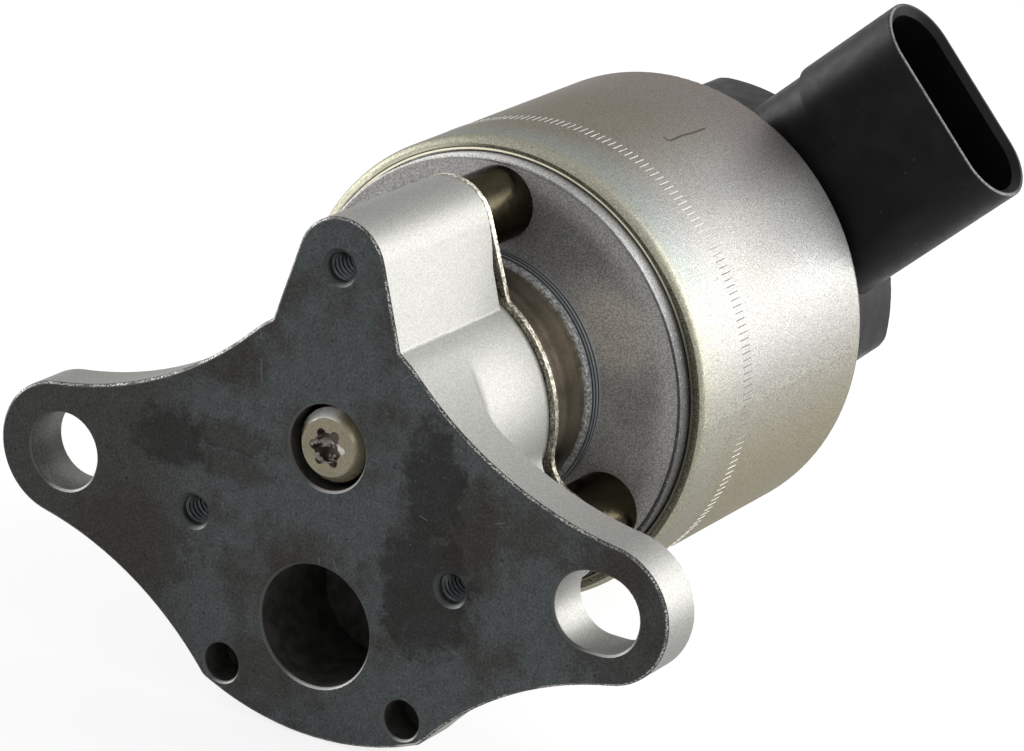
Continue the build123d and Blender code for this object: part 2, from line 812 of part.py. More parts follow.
pieces = {
    "base_casting": base_casting(),
    "valve_seat": valve_seat(),
    "pintle": pintle(),
    "bearing_carrier": bearing_carrier(),
    "stem_bearing": stem_bearing(),
    "shield_gasket": shield_gasket(),
    "heat_shield": heat_shield(),
    "lower_pole": lower_pole(),
    "neck_ring": neck_ring(),
    "pole_flange": pole_flange(),
    "solenoid_can": solenoid_can(),
    "bobbin": bobbin(),
    "coil_winding": coil_winding(),
    "guide_sleeve": guide_sleeve(),
    "upper_pole": upper_pole(),
    "armature": armature(),
    "armature_nut": armature_nut(),
    "spring_seat": spring_seat(),
    "return_spring": return_spring(),
    "cap_seal": cap_seal(),
    "sensor_cap": sensor_cap(),
    "sensor_cover": sensor_cover(),
    "sensor_bush": sensor_bush(),
    "sensor_plunger": sensor_plunger(),
    "sensor_spring": sensor_spring(),
    "wiper": wiper(),
    "track_board": track_board(),
}
for number, post_angle in enumerate(post_angles, start=1):
    pieces[f"spacer_post_{number}"] = spacer_post(post_angle)
    pieces[f"post_screw_{number}"] = post_screw(post_angle)
for number, terminal_place in enumerate(terminal_places(), start=1):
    pieces[f"terminal_{number}"] = terminal(terminal_place)

os.makedirs("parts", exist_ok=True)
for name, piece in pieces.items():
    export_step(Pos(0, 0, axis_height) * piece, f"parts/{name}.step")
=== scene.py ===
import json
from math import cos, pi, radians, sin, tau

import bpy
from mathutils import Matrix, Vector


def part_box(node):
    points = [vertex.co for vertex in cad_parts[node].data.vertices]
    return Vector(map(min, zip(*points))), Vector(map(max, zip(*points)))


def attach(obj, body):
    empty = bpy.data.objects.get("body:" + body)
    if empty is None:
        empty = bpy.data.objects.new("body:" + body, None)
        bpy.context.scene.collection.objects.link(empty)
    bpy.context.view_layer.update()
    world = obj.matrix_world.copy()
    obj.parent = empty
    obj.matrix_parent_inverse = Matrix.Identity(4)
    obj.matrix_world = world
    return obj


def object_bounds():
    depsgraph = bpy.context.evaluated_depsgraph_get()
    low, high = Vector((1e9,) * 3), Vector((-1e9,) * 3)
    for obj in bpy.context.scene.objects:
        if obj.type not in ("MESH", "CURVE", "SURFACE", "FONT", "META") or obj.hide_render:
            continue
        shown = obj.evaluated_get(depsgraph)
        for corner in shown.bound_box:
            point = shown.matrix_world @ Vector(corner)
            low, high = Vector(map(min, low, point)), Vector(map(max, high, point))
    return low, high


# Looks of the exhaust gas recirculation valve, around its fixed frame. Places are in metres,
# and texture coordinates in the materials are in millimetres.
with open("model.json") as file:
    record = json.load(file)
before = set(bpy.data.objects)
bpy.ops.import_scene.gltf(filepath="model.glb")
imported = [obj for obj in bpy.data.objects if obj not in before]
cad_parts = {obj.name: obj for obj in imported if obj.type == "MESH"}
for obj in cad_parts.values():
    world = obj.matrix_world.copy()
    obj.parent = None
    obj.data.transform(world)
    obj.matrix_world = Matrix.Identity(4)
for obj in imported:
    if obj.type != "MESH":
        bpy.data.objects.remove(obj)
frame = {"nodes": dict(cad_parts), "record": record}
cad_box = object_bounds()
nodes = frame["nodes"]
mm = 0.001

# Camera at the photograph's viewing angle
image_width = 1024
focal_length_pixels = 4745.1
sensor_width = 36.0
camera_target = Vector((1.87, 35.0, 9.01)) * mm
camera_distance = 534.4 * mm
camera_azimuth = 29.833
camera_elevation = 19.332
camera_roll = 4.876

# Light: radiance of the softboxes, with the background's white as 1
fill_level = 0.55
floor_share = 0.72
floor_glow = 1.08
floor_colour = (0.9, 0.9, 0.9)
floor_radius = 0.41
floor_sides = 96
floor_gap = 0.05 * mm
softboxes = {
    # name: azimuth, elevation, distance, width, height, radiance
    "right_back_box": (129.0, 19.0, 0.45, 0.36, 0.38, 6.7),
    "left_box": (-85.0, 13.0, 0.60, 0.44, 0.20, 9.0),
    "right_front_box": (75.0, 30.0, 0.80, 0.35, 0.35, 1.4),
}

# Places read from the frame
can_low, can_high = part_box("solenoid_can")
axis_height = (can_low.z + can_high.z) / 2
can_radius = (can_high.z - can_low.z) / 2
mounts = {mount["name"]: mount for mount in frame["record"]["mounts"]}
bolt_hole = mounts["bolt_hole"]
bolt_slot = mounts["bolt_slot"]
outlet = mounts["outlet_port"]
plug_socket = mounts["connector_socket"]
locating_holes = [mount for name, mount in mounts.items() if name.startswith("locating_hole")]
screw_boxes = [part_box(f"post_screw_{number}") for number in (1, 2, 3)]
screw_centres = [(low + high) / 2 for low, high in screw_boxes]

# Values of the materials, in millimetres: levels along Y, places along X, heights and radii from the
# valve axis. A pair is where a change of tone starts and is complete, or a band's limits if it has a fade.

# Mounting face: rings round the holes' mouths, margins round their bores, and depths behind the face
inlet_mouth = 6.0
slot_mouth = 6.2
thread_mouth = 2.9
mouth_margin = 0.8
bore_margin = 0.05
tap_margin = 0.12
spray_margin = 0.1
chamber_radii = (12.4, 12.3)
face_levels = (0.02, 0.01)
rim_levels = (0.40, 0.36)
worn_levels = (0.13, 0.27)
worn_fade = 0.05
spray_levels = (4.2, 1.4)

# Plating of the can
# Painted warm reflection low on the can, and painted shade at its top
warm_reflection_heights = (6.0, -10.0)
top_shade_heights = (22.5, 27.0)
tint_heights = (2.0, 20.0)
tint_levels = (47.0, 40.5)
tint_wander = 8.0
olive_levels = (42.0, 39.5)
rosy_levels = (54.0, 66.0)
rosy_heights = (14.0, 25.0)
gold_levels = (35.05, 34.80)
# Painted highlight on the can's right side toward the back, beside the connector
highlight_levels = (50.0, 71.0)
highlight_places = (6.0, 18.0)
highlight_heights = (14.5, 16.5)
highlight_fade = 8.0

# Rolled edge of the can, which is wider at the right than at the top
roll_levels = (35.6, 35.3)
roll_heights = (8.0, 21.0)
roll_reaches = (26.46, 26.14)
roll_fade = 0.06
# Painted highlight on the rolled edge at the left, and the heights over which the thin gold line brightens
# to a painted highlight at the top
roll_highlight_places = (-2.0, -12.0)
roll_highlight_radii = (25.85, 25.95)
roll_line_radii = (25.55, 25.72)
roll_line_light_heights = (4.0, 22.0)

# Flange: painted shade on the upper part, a painted highlight patch as (x, height, half width, half
# height), a painted pale band that lifts the shade at the edge of the dish, and the lip with painted shade
# low down and a painted highlight at the left
dish_shade_heights = (9.0, 20.0)
dish_highlight_patch = (15.5, 9.0, 5.0, 4.0)
dish_edge_light_radii = (21.4, 24.0)
lip_radii = (24.66, 24.74)
lip_shade_heights = (8.0, 20.0)
lip_highlight_places = (10.0, -9.0)

# Nose of the pintle: conical shoulder with its painted highlight, and the drive with its painted shade and
# glints
shoulder_radii = (3.30, 3.36)
shoulder_levels = (2.4, 2.0)
nose_highlight_heights = (1.2, 3.0)
nose_highlight_places = (1.8, -0.4)
drive_radii = (2.5, 2.45)
drive_levels = (0.10, 2.2)
drive_fade = 0.02
glint_heights = (0.6, -0.6)

# Connector shroud's inside about its own axis, where it gets painted shade, the land round its mouth with a
# painted highlight, and the coil's wire
socket_half_straight = 7.15
socket_half_height = 5.8
socket_land = 0.35
socket_fade = 0.1
socket_floor = (30.0, 30.5)
land_depths = (0.12, 0.06)
land_half_span = 2.0
wire_pitch = 0.6

# Ring round the neck: its width, and its grooves along a line outward and back
ring_width = 0.96 * mm
groove_slope = 0.7
groove_pitch = 0.42
pale_reach = 0.95
pale_fade = 0.1

# Tick marks rolled into the can
tick_count = 220
tick_front = 43.2 * mm
tick_back = 45.3 * mm
tick_width = 0.20 * mm
tick_height = 0.04 * mm
tick_taper = 0.08
# Painted shade on the ticks on the can's right side: its heights, fade and places
tick_shade_heights = (-2.0, 15.0)
tick_shade_fade = 5.0
tick_shade_places = (0.0, 10.0)

# Threads of the tapped holes
thread_pitch = 0.7 * mm
thread_radius = 1.65 * mm
thread_crest = 0.24 * mm
thread_root = 0.03 * mm
thread_share = 0.46
thread_start = 0.65 * mm
thread_turns = 8
thread_segments = 40

# Stains on the mounting face, as (x, z, half width, half height) in millimetres
dark_stains = [
    (-20.0, 5.5, 4.8, 3.2),
    (13.5, 8.5, 3.8, 6.5),
    (13.5, -3.5, 6.0, 7.5),
]
brown_stains = [
    (-12.5, 7.3, 5.6, 1.9),
    (-12.0, 4.2, 5.0, 1.8),
    (-16.0, 16.5, 6.5, 3.2),
    (-2.0, -7.5, 4.5, 4.0),
    (18.5, 4.5, 3.0, 6.5),
    (-25.0, -8.0, 8.0, 6.0),
    (37.5, 1.0, 7.0, 10.0),
]

# Scratches on the mounting face, as (x, z) of both ends and half width in millimetres
face_scratches = [
    (-9.1, 17.2, -8.8, 14.6, 0.035),
    (-9.4, 20.6, -9.2, 19.6, 0.035),
    (8.6, 19.2, 10.3, 20.5, 0.035),
    (1.8, -3.0, 2.4, -4.1, 0.035),
    (0.0, -3.2, 0.1, -4.3, 0.035),
    (21.5, 6.5, 22.6, 6.9, 0.04),
    (12.2, 4.9, 13.2, 4.6, 0.04),
]
strip_edges = [
    (-16.5, 9.0, -11.5, 8.6, 0.08),
    (-12.0, 6.2, -7.6, 5.7, 0.10),
    (-16.4, 5.8, -12.0, 6.2, 0.08),
    (-7.6, 5.7, -7.4, 7.8, 0.12),
]

# Scuff on the can's upper side, as (y, x) of points along it, in millimetres
can_scuff = [(52.8, 8.8), (52.5, 9.3), (53.1, 9.6), (55.5, 9.55), (57.6, 9.75), (60.5, 9.85)]


class Paint:
    """One material: a Principled shader fed by textures, with coordinates in millimetres."""

    def __init__(self, name, metallic=0.0, specular=0.5):
        self.material = bpy.data.materials.new(name)
        self.material.use_nodes = True
        self.tree = self.material.node_tree
        self.shader = self.tree.nodes["Principled BSDF"]
        self.set("Metallic", metallic)
        self.set("Specular IOR Level", specular)
        coordinates = self.tree.nodes.new("ShaderNodeTexCoord")
        self.place = self.scaled(coordinates.outputs["Object"], (1 / mm,) * 3)
        self.x, self.y, self.z = self.split(self.place)
        self.height = self.calc("SUBTRACT", self.z, axis_height / mm)
        self.radius = self.length(self.x, self.height)

    def feed(self, socket, value):
        """Link a socket or set its constant."""
        if isinstance(value, bpy.types.NodeSocket):
            self.tree.links.new(value, socket)
        elif socket.type == "RGBA":
            socket.default_value = (*value, 1.0)
        else:
            socket.default_value = value

    def set(self, name, value):
        """Feed one input of the shader."""
        self.feed(self.shader.inputs[name], value)

    def split(self, vector):
        """The three parts of a vector."""
        node = self.tree.nodes.new("ShaderNodeSeparateXYZ")
        self.feed(node.inputs[0], vector)
        return node.outputs

    def scaled(self, vector, factors):
        """A vector times a factor for each part."""
        node = self.tree.nodes.new("ShaderNodeVectorMath")
        node.operation = "MULTIPLY"
        self.feed(node.inputs[0], vector)
        self.feed(node.inputs[1], factors)
        return node.outputs[0]

    def calc(self, operation, first, second=0.0):
        """One sum of two values."""
        node = self.tree.nodes.new("ShaderNodeMath")
        node.operation = operation
        self.feed(node.inputs[0], first)
        self.feed(node.inputs[1], second)
        return node.outputs[0]

    def times(self, first, second):
        return self.calc("MULTIPLY", first, second)

    def length(self, first, second):
        """Length of the vector with two parts."""
        squares = self.calc("ADD", self.times(first, first), self.times(second, second))
        return self.calc("SQRT", squares)

    def step(self, value, start, end, low=0.0, high=1.0):
        """Smooth change from low to high while a value goes from start to end."""
        node = self.tree.nodes.new("ShaderNodeMapRange")
        node.interpolation_type = "SMOOTHSTEP"
        for socket, number in zip(node.inputs[:5], (value, start, end, low, high)):
            self.feed(socket, number)
        return node.outputs[0]

    def band(self, value, start, end, soft):
        """Mask of a value between start and end."""
        return self.times(self.step(value, start - soft, start), self.step(value, end + soft, end))

    def noise(self, scale, detail=2.0, stretch=None, roughness=0.5):
        """Random texture, with its scale per millimetre."""
        node = self.tree.nodes.new("ShaderNodeTexNoise")
        place = self.scaled(self.place, stretch) if stretch else self.place
        self.feed(node.inputs["Vector"], place)
        self.feed(node.inputs["Scale"], scale)
        self.feed(node.inputs["Detail"], detail)
        self.feed(node.inputs["Roughness"], roughness)
        return node.outputs[0]

    def blend(self, share, first, second):
        """Mix of two colours."""
        node = self.tree.nodes.new("ShaderNodeMix")
        node.data_type = "RGBA"
        self.feed(node.inputs[0], share)
        self.feed(node.inputs[6], first)
        self.feed(node.inputs[7], second)
        return node.outputs[2]

    def grained(self, colour, scale, spread):
        """A colour with a fine grain of darker and lighter points."""
        tone = self.step(self.noise(scale, 2.0), 0.33, 0.67, 1.0 - spread, 1.0 + spread)
        node = self.tree.nodes.new("ShaderNodeVectorMath")
        node.operation = "SCALE"
        self.feed(node.inputs[0], colour)
        self.feed(node.inputs["Scale"], tone)
        return node.outputs[0]

    def either(self, *masks):
        """Largest of several masks."""
        total = masks[0]
        for mask in masks[1:]:
            total = self.calc("MAXIMUM", total, mask)
        return total

    def near(self, x, z, radius, softness=0.05):
        """Mask of the points within a radius of a line along Y."""
        across = self.calc("SUBTRACT", self.x, x)
        up = self.calc("SUBTRACT", self.z, z)
        return self.step(self.length(across, up), radius + softness, radius)

    def lower_right(self, x, z, radius):
        """Mask that grows to the lower right of a line along Y."""
        across = self.calc("SUBTRACT", self.x, x)
        down = self.calc("SUBTRACT", z, self.z)
        return self.step(self.calc("ADD", self.times(across, 0.5), down), 0.5 * radius, 0.95 * radius)

    def blotch(self, x, z, half_width, half_height, ragged):
        """Patch on a face across Y, with a ragged outline."""
        across = self.calc("DIVIDE", self.calc("SUBTRACT", self.x, x), half_width)
        up = self.calc("DIVIDE", self.calc("SUBTRACT", self.z, z), half_height)
        edge = self.calc("ADD", self.length(across, up), ragged)
        return self.step(edge, 1.30, 0.72)

    def scratch(self, across, up, start, end, half_width):
        """Thin straight mark between two places, given by two coordinates."""
        run = (end[0] - start[0], end[1] - start[1])
        square = run[0] ** 2 + run[1] ** 2
        first = self.calc("SUBTRACT", across, start[0])
        second = self.calc("SUBTRACT", up, start[1])
        along = self.calc("ADD", self.times(first, run[0] / square), self.times(second, run[1] / square))
        along = self.calc("MINIMUM", self.calc("MAXIMUM", along, 0.0), 1.0)
        first = self.calc("SUBTRACT", first, self.times(along, run[0]))
        second = self.calc("SUBTRACT", second, self.times(along, run[1]))
        return self.step(self.length(first, second), 2 * half_width, 0.6 * half_width)

    def face_marks(self, marks):
        """Mask of straight marks on the mounting face."""
        return self.either(*[self.scratch(self.x, self.z, m[:2], m[2:4], m[4]) for m in marks])

    def rough(self, texture, low, high):
        """Roughness that follows a texture from low to high."""
        self.set("Roughness", self.step(texture, 0.3, 0.7, low, high))

    def relief(self, height, depth):
        """Bump of a depth in millimetres."""
        node = self.tree.nodes.new("ShaderNodeBump")
        node.inputs["Distance"].default_value = depth * mm
        self.feed(node.inputs["Height"], height)
        self.set("Normal", node.outputs[0])


def face_coat(paint):
    """Colour of the mounting face: blue-grey phosphate with brown bloom, dark stains and fine wear."""
    ragged = paint.calc("SUBTRACT", paint.noise(0.45, 8.0, roughness=0.74), 0.5)
    ragged = paint.times(ragged, 2.6)
    bloom = paint.step(paint.noise(0.085, 6.0, roughness=0.62), 0.46, 0.62)
    bloom = paint.either(paint.times(bloom, 0.8), paint.step(paint.x, -13.0, -25.0, 0.0, 0.75))
    coat = paint.blend(bloom, (0.064, 0.073, 0.074), (0.038, 0.035, 0.030))
    browned = paint.either(*[paint.blotch(*stain, ragged) for stain in brown_stains])
    coat = paint.blend(paint.times(browned, 0.60), coat, (0.030, 0.026, 0.021))
    darkened = paint.either(*[paint.blotch(*stain, ragged) for stain in dark_stains])
    coat = paint.blend(paint.times(darkened, 0.85), coat, (0.020, 0.019, 0.018))
    coat = paint.blend(paint.times(paint.face_marks(strip_edges), 0.4), coat, (0.016, 0.014, 0.012))
    coat = paint.grained(paint.grained(coat, 0.8, 0.09), 3.4, 0.26)
    pits = paint.step(paint.noise(1.7, 1.0), 0.700, 0.735)
    coat = paint.blend(paint.times(pits, 0.8), coat, (0.010, 0.010, 0.010))
    hairs = paint.step(paint.noise(1.0, 3.0, (5.5, 1.0, 0.30)), 0.70, 0.78)
    strokes = paint.step(paint.noise(1.0, 3.0, (0.28, 1.0, 5.0)), 0.71, 0.79)
    flecks = paint.step(paint.noise(3.4, 1.0), 0.735, 0.79)
    wear = paint.either(paint.times(hairs, 0.36), paint.times(strokes, 0.28), paint.times(flecks, 0.60))
    wear = paint.either(wear, paint.times(paint.face_marks(face_scratches), 0.45))
    return paint.blend(wear, coat, (0.20, 0.20, 0.19))


def place_of(mount):
    """Place of a mount across the mounting face, as x and z in millimetres."""
    return mount["pos_m"][0] / mm, mount["pos_m"][2] / mm


def soot_and_hole_shade(paint):
    """Mask of what is dark inside: soot and painted shade in the outlet and gas chamber, painted shade in
    the locating holes and tapped holes.
    """
    holes = [(*place_of(mount), mount["dims"]["r_mm"] + bore_margin) for mount in [outlet, *locating_holes]]
    holes += [(centre.x / mm, centre.z / mm, thread_radius / mm + tap_margin) for centre in screw_centres]
    chamber = paint.step(paint.radius, *chamber_radii)
    return paint.either(chamber, *[paint.near(*hole) for hole in holes])


def mouth_rings(paint, rim, mouths, colour, lit):
    """Colour of the rim with rings round hole mouths, with a painted highlight at their lower right."""
    rings = [paint.near(*mouth) for mouth in mouths]
    lit_crescents = [paint.times(ring, paint.lower_right(*mouth)) for ring, mouth in zip(rings, mouths)]
    rim = paint.blend(paint.either(*rings), rim, colour)
    return paint.blend(paint.either(*lit_crescents), rim, lit)


def rim_coat(paint):
    """Colour of the edges just behind the mounting face: chipped outline, and hole mouths with a painted
    highlight at their lower right.
    """
    line = paint.band(paint.y, *worn_levels, worn_fade)
    chips = paint.step(paint.noise(5.5, 2.0), 0.42, 0.60)
    patchy = paint.step(paint.noise(0.30, 3.0), 0.36, 0.56, 0.15, 1.0)
    chipped = paint.times(paint.times(line, chips), patchy)
    rim = paint.blend(chipped, (0.050, 0.052, 0.052), (0.48, 0.47, 0.44))
    mouths = [(0.0, axis_height / mm, inlet_mouth), (*place_of(bolt_slot), slot_mouth)]
    for mount in [bolt_hole, outlet, *locating_holes]:
        mouths.append((*place_of(mount), mount["dims"]["r_mm"] + mouth_margin))
    # Rings round the hole mouths, with a painted highlight at their lower right
    rim = mouth_rings(paint, rim, mouths, (0.085, 0.085, 0.083), (0.40, 0.40, 0.39))
    mouths = [(centre.x / mm, centre.z / mm, thread_mouth) for centre in screw_centres]
    return mouth_rings(paint, rim, mouths, (0.055, 0.060, 0.062), (0.24, 0.25, 0.25))


def coated_iron():
    """Silver casting with a dark, stained and scratched mounting face, worn edges, and soot and painted
    shade inside its holes.
    """
    paint = Paint("coated_iron", specular=0.15)
    paint.set("Specular Tint", (0.55, 0.55, 0.55))
    face = paint.step(paint.y, *face_levels)
    silver = paint.grained((0.300, 0.298, 0.281), 4.6, 0.12)
    grit = paint.noise(5.0, 2.0)
    silver = paint.blend(paint.step(grit, 0.68, 0.76, 0.0, 0.5), silver, (0.13, 0.13, 0.12))

    overspray = paint.near(*place_of(bolt_hole), bolt_hole["dims"]["r_mm"] + spray_margin)
    fade = paint.step(paint.y, *spray_levels)
    dots = paint.step(paint.noise(4.6, 1.0), 0.40, 0.58)
    dusted = paint.calc("ADD", paint.times(dots, 0.55), paint.times(fade, 0.45))
    silver = paint.blend(paint.times(overspray, dusted), silver, (0.12, 0.12, 0.117))

    # Dark inside the holes: soot and painted shade in the outlet and gas chamber, painted shade in the
    # locating and tapped holes
    soot_and_shade = soot_and_hole_shade(paint)
    cloud = paint.step(paint.noise(0.6, 4.0), 0.4, 0.6)
    soot_and_shade_colour = paint.blend(cloud, (0.030, 0.029, 0.026), (0.050, 0.048, 0.043))
    colour = paint.blend(soot_and_shade, silver, soot_and_shade_colour)
    colour = paint.blend(paint.step(paint.y, *rim_levels), colour, rim_coat(paint))
    paint.set("Base Color", paint.blend(face, colour, face_coat(paint)))

    bare = paint.calc("SUBTRACT", 1.0, paint.either(face, soot_and_shade))
    paint.set("Metallic", paint.times(bare, 0.75))
    paint.set("Roughness", paint.step(grit, 0.35, 0.65, 0.50, 0.56))
    paint.relief(grit, 0.022)
    return paint.material


def can_plating(paint):
    """Colour of the plating: faint yellow, green and pink tints by place, golden at the roll, with a
    painted warm reflection low down and painted shade at the top.
    """
    cloud = paint.noise(0.04, 3.0)
    colour = paint.blend(paint.step(cloud, 0.40, 0.60), (0.312, 0.303, 0.280), (0.306, 0.302, 0.288))
    # Painted warm reflection low on the can, then painted shade at its top
    colour = paint.blend(paint.step(paint.height, *warm_reflection_heights), colour, (0.312, 0.290, 0.222))
    colour = paint.blend(paint.step(paint.height, *top_shade_heights), colour, (0.232, 0.219, 0.188))
    front = paint.calc("ADD", paint.y, paint.times(cloud, tint_wander))
    high = paint.step(paint.height, *tint_heights)
    tint = paint.blend(high, (0.318, 0.312, 0.272), (0.272, 0.300, 0.284))
    colour = paint.blend(paint.step(front, *tint_levels, 0.0, 0.85), colour, tint)
    olive = paint.step(front, *olive_levels, 0.0, 0.65)
    colour = paint.blend(olive, colour, (0.300, 0.297, 0.250))
    rosy = paint.times(paint.step(paint.y, *rosy_levels), paint.step(paint.height, *rosy_heights))
    colour = paint.blend(paint.times(rosy, 0.5), colour, (0.275, 0.240, 0.245))
    gold = paint.times(paint.step(paint.y, *gold_levels), 0.6)
    return paint.blend(gold, colour, (0.320, 0.305, 0.225))


def roll_coat(paint):
    """Colour of the rolled edge: speckled dark olive with a painted highlight at the left, and a thin gold
    line with a painted highlight that grows toward the top.
    """
    specks = paint.step(paint.noise(8.0, 2.0), 0.36, 0.64)
    olive = paint.blend(specks, (0.036, 0.034, 0.023), (0.15, 0.143, 0.105))
    # Painted highlight on the rolled edge at the left
    painted_gleam = paint.times(paint.step(paint.x, *roll_highlight_places), paint.step(paint.radius, *roll_highlight_radii))
    olive = paint.blend(painted_gleam, olive, (0.50, 0.475, 0.37))
    # Thin gold line, dim low down and bright at the top: painted highlight
    gold = paint.blend(paint.step(paint.height, *roll_line_light_heights), (0.21, 0.20, 0.15), (0.92, 0.88, 0.68))
    return paint.blend(paint.band(paint.radius, *roll_line_radii, roll_fade), olive, gold)


def plated_can():
    """Zinc plated drawn steel with a satin grain, a dark rolled edge with painted highlights, and a painted
    highlight beside the connector.
    """
    paint = Paint("plated_can", specular=0.2)
    paint.set("Specular Tint", (0.34, 0.32, 0.28))
    reach = paint.step(paint.height, *roll_heights, *roll_reaches)
    beyond = paint.calc("SUBTRACT", paint.radius, reach)
    roll = paint.times(paint.step(beyond, roll_fade, 0.0), paint.step(paint.y, *roll_levels))
    colour = paint.blend(roll, paint.grained(can_plating(paint), 5.8, 0.26), roll_coat(paint))
    # Painted highlight beside the connector: paler and less metallic
    painted_highlight = paint.band(paint.height, *highlight_heights, highlight_fade)
    painted_highlight = paint.times(paint.step(paint.y, *highlight_levels), painted_highlight)
    painted_highlight = paint.times(painted_highlight, paint.step(paint.x, *highlight_places))
    colour = paint.blend(painted_highlight, colour, paint.grained((0.52, 0.52, 0.51), 5.8, 0.30))
    paint.set("Metallic", paint.step(painted_highlight, 0.0, 1.0, 0.78, 0.55))
    marks = [paint.scratch(paint.y, paint.x, a, b, 0.10) for a, b in zip(can_scuff, can_scuff[1:])]
    scuffed = paint.times(paint.either(*marks), paint.step(paint.height, 0.0, 0.5, 0.0, 0.7))
    paint.set("Base Color", paint.blend(scuffed, colour, (0.040, 0.038, 0.034)))
    grain = paint.noise(5.4, 2.0)
    paint.rough(grain, 0.42, 0.48)
    paint.relief(grain, 0.042)
    return paint.material


def blasted_flange():
    """Grey blasted steel with pale sparkle, painted shade on its upper part, painted highlights on the dish
    and at its edge, and a lip with painted shade low down and a painted highlight at the upper left.
    """
    paint = Paint("flange_steel", metallic=0.55, specular=0.3)
    cloud = paint.step(paint.noise(0.10, 3.0), 0.38, 0.62)
    grey = paint.blend(cloud, (0.285, 0.282, 0.275), (0.40, 0.393, 0.38))
    # Painted shade on the upper part of the flange
    grey = paint.blend(paint.step(paint.height, *dish_shade_heights, 0.0, 0.6), grey, (0.19, 0.19, 0.187))
    # Painted highlight patch on the dish
    across, up, half_width, half_height = dish_highlight_patch
    patch = paint.blotch(across, axis_height / mm + up, half_width, half_height, 0.0)
    grey = paint.blend(paint.times(patch, 0.45), grey, (0.58, 0.54, 0.47))
    # Painted pale band that lifts the shade at the edge of the dish
    grey = paint.blend(paint.step(paint.radius, *dish_edge_light_radii, 0.0, 0.5), grey, (0.62, 0.61, 0.60))
    # Lip: painted shade low down, painted highlight at the upper left
    lip = paint.blend(paint.step(paint.height, *lip_shade_heights), (0.105, 0.105, 0.104), (0.38, 0.38, 0.377))
    lip = paint.blend(paint.step(paint.x, *lip_highlight_places), lip, (0.92, 0.92, 0.91))
    grey = paint.grained(paint.blend(paint.step(paint.radius, *lip_radii), grey, lip), 4.6, 0.30)
    sparkle = paint.step(paint.noise(4.8, 1.0), 0.68, 0.74, 0.0, 0.7)
    paint.set("Base Color", paint.blend(sparkle, grey, (0.75, 0.75, 0.75)))
    grain = paint.noise(4.4, 2.0)
    paint.rough(grain, 0.46, 0.56)
    paint.relief(grain, 0.022)
    return paint.material


def turned_paint(name, colour, second, roughness, rings, depth):
    """Metal turned about the valve axis, with fine rings and slow changes of tone."""
    paint = Paint(name, metallic=1.0)
    lathe = paint.tree.nodes.new("ShaderNodeTexNoise")
    lathe.noise_dimensions = "1D"
    paint.feed(lathe.inputs["W"], paint.calc("ADD", paint.radius, paint.times(paint.y, 0.7)))
    paint.feed(lathe.inputs["Scale"], rings)
    paint.feed(lathe.inputs["Detail"], 3.0)
    tone = paint.calc("ADD", lathe.outputs[0], paint.noise(0.3, 3.0))
    paint.rough(paint.noise(0.9, 2.0), roughness - 0.04, roughness + 0.04)
    paint.relief(lathe.outputs[0], depth)
    return paint, paint.grained(paint.blend(paint.step(tone, 0.75, 1.25), colour, second), 3.6, 0.08)


def turned_metal(name, colour, second, roughness, rings, depth):
    """Plain turned metal."""
    paint, body = turned_paint(name, colour, second, roughness, rings, depth)
    paint.set("Base Color", body)
    return paint.material


def pintle_steel():
    """Champagne stainless steel: browner and duller on the nose's shoulder with a painted highlight at its
    upper left, and painted shade with painted glints on the lower facets of its drive.
    """
    paint, body = turned_paint("stainless", (0.185, 0.165, 0.118), (0.225, 0.203, 0.150), 0.26, 6.0, 0.003)
    shoulder = paint.times(paint.step(paint.radius, *shoulder_radii), paint.step(paint.y, *shoulder_levels))
    # Painted highlight at the upper left of the nose's shoulder
    nose_highlight = paint.times(paint.step(paint.height, *nose_highlight_heights), paint.step(paint.x, *nose_highlight_places))
    flank = paint.blend(nose_highlight, (0.25, 0.22, 0.145), (0.95, 0.94, 0.90))
    body = paint.blend(shoulder, body, flank)
    # Painted shade in the drive, with painted glints on its lower facets
    inside = paint.band(paint.y, *drive_levels, drive_fade)
    drive = paint.times(paint.step(paint.radius, *drive_radii), inside)
    glinting_facets = paint.step(paint.noise(0.9, 2.0), 0.48, 0.56)
    glinting_facets = paint.times(glinting_facets, paint.step(paint.height, *glint_heights))
    body = paint.blend(drive, body, paint.blend(glinting_facets, (0.075, 0.060, 0.045), (0.80, 0.76, 0.70)))
    paint.set("Base Color", body)
    paint.set("Metallic", paint.step(paint.either(shoulder, drive), 0.0, 1.0, 1.0, 0.45))
    return paint.material


def grooved_steel():
    """Ring round the neck: speckled pale band inside, fine blue-grey grooves outside."""
    paint = Paint("ring_steel", metallic=0.55)
    low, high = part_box("neck_ring")
    outward = paint.calc("ADD", paint.radius, paint.times(paint.y, groove_slope))
    inmost = ((high.x - low.x) / 2 - ring_width + groove_slope * low.y) / mm
    reach = paint.calc("SUBTRACT", outward, inmost)
    grooves = paint.calc("SINE", paint.times(reach, tau / groove_pitch))
    blue = paint.blend(paint.step(grooves, -0.3, 0.7), (0.060, 0.070, 0.080), (0.44, 0.46, 0.48))
    pale = paint.grained((0.50, 0.51, 0.52), 3.6, 0.50)
    outside = paint.step(reach, pale_reach, pale_reach + pale_fade)
    paint.set("Base Color", paint.blend(outside, pale, blue))
    paint.rough(paint.noise(0.9, 2.0), 0.32, 0.40)
    return paint.material


def grained_metal(name, colour, second, roughness, grain, metallic=1.0, spread=0.12, edge=1.0):
    """Metal with an even grain and slow changes of tone."""
    paint = Paint(name, metallic=metallic)
    paint.set("Specular Tint", (edge, edge, edge))
    tone = paint.step(paint.noise(0.4, 3.0), 0.36, 0.64)
    paint.set("Base Color", paint.grained(paint.blend(tone, colour, second), grain, spread))
    paint.rough(paint.noise(0.9, 2.0), roughness - 0.04, roughness + 0.04)
    paint.relief(paint.noise(grain, 2.0), 0.012)
    return paint.material


